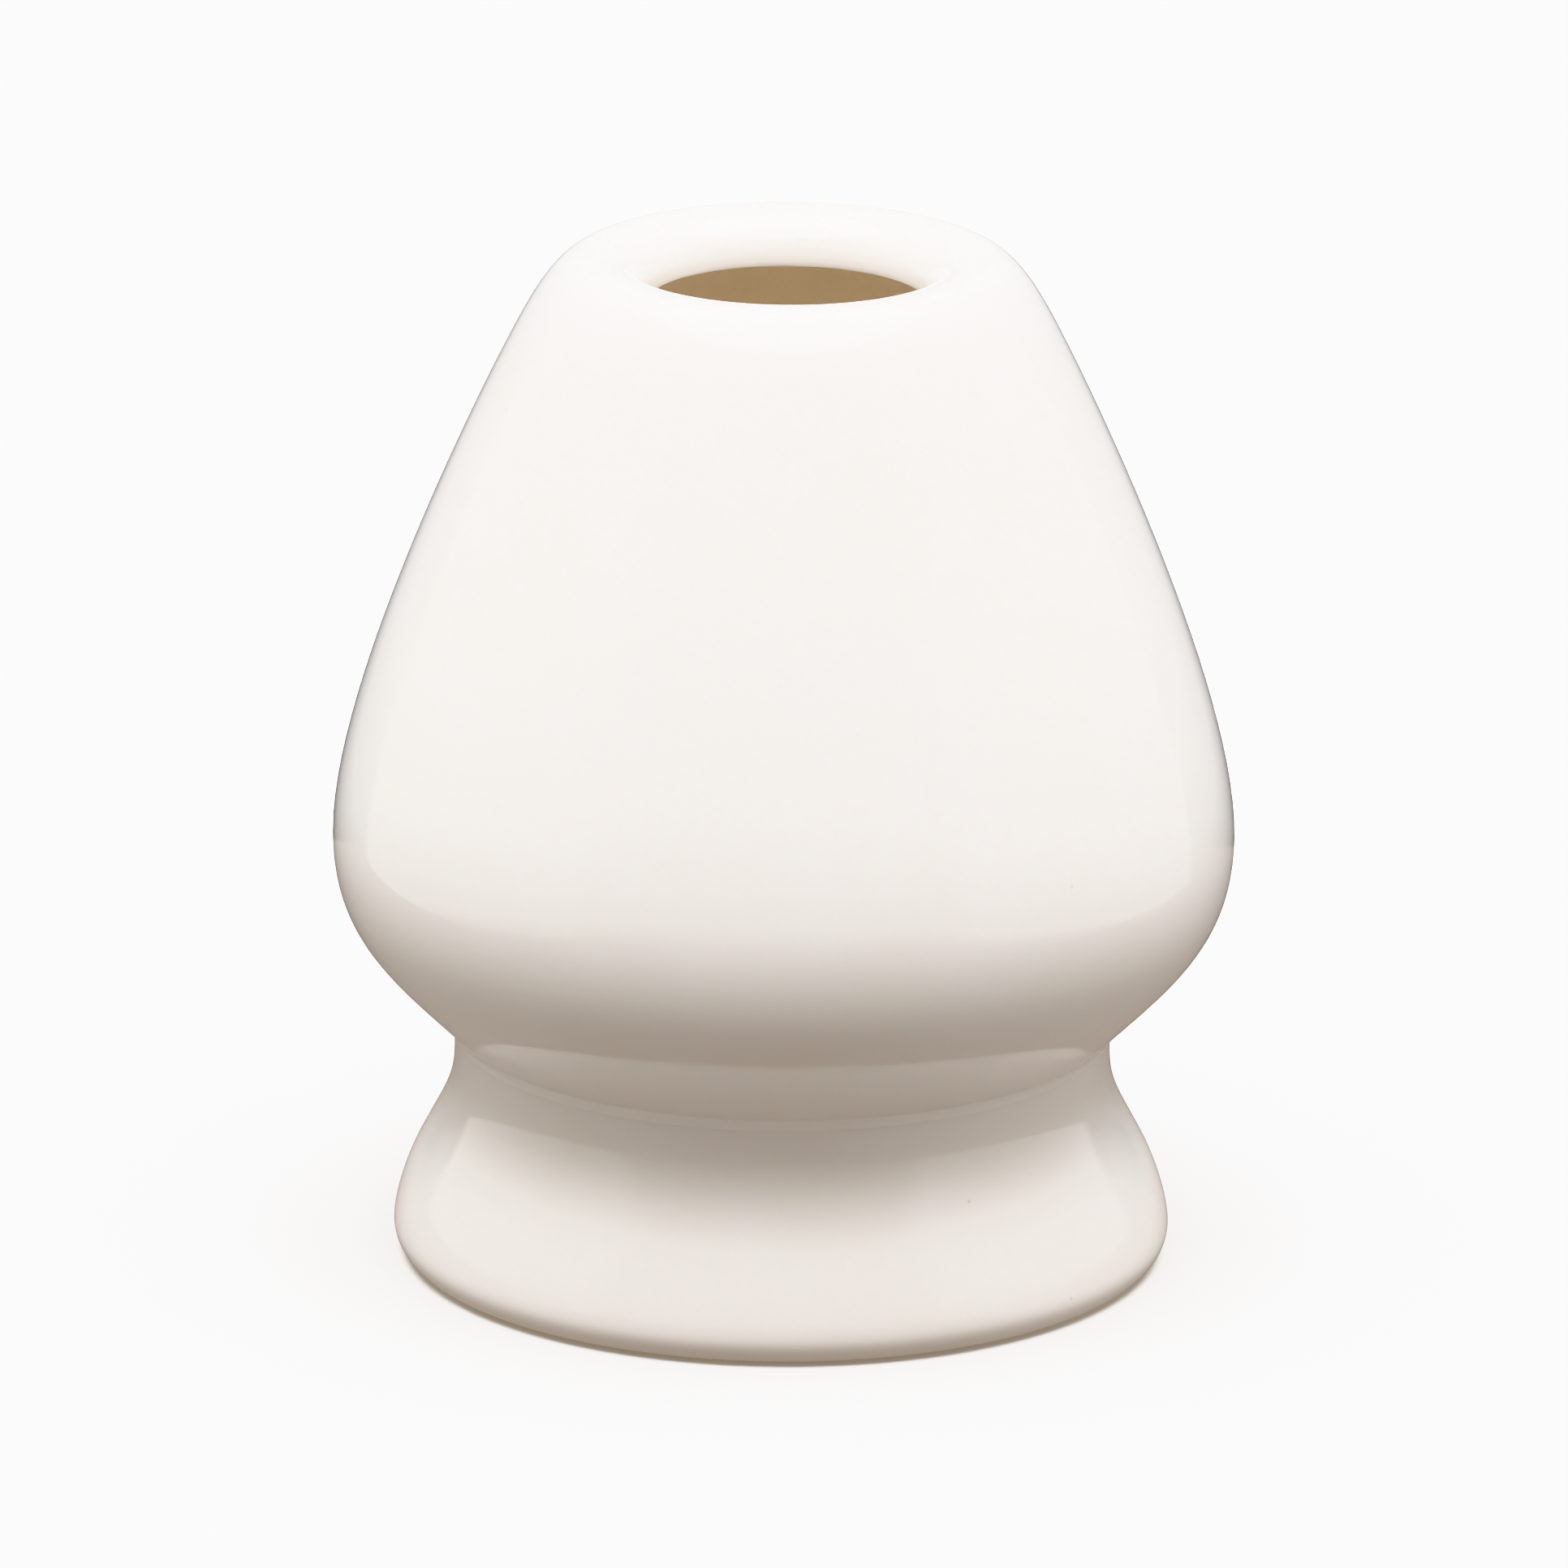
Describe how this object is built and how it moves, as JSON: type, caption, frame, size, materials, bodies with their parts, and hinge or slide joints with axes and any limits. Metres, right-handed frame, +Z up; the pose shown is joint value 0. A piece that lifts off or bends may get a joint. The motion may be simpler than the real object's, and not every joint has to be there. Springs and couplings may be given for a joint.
{
  "type": "tea whisk holder",
  "caption": "White glazed porcelain stand that a bamboo tea whisk dries on: a hollow bell with a rolled rim and a round mouth, on a short flared foot.",
  "frame": {"origin": "centre of the foot ring, on the surface that the holder stands on", "axes": "+Z up along the axis of the bell, X and Y any two directions across it"},
  "size_m": [0.06, 0.06, 0.0686],
  "materials": {
    "glazed_porcelain": "gloss white glaze over slip-cast porcelain",
    "fired_slip": "gloss white glaze pooled in the waist crease"
  },
  "bodies": {
    "root": {"bell": "glazed_porcelain", "luting_slip": "fired_slip", "foot": "glazed_porcelain"}
  },
  "joints": []
}
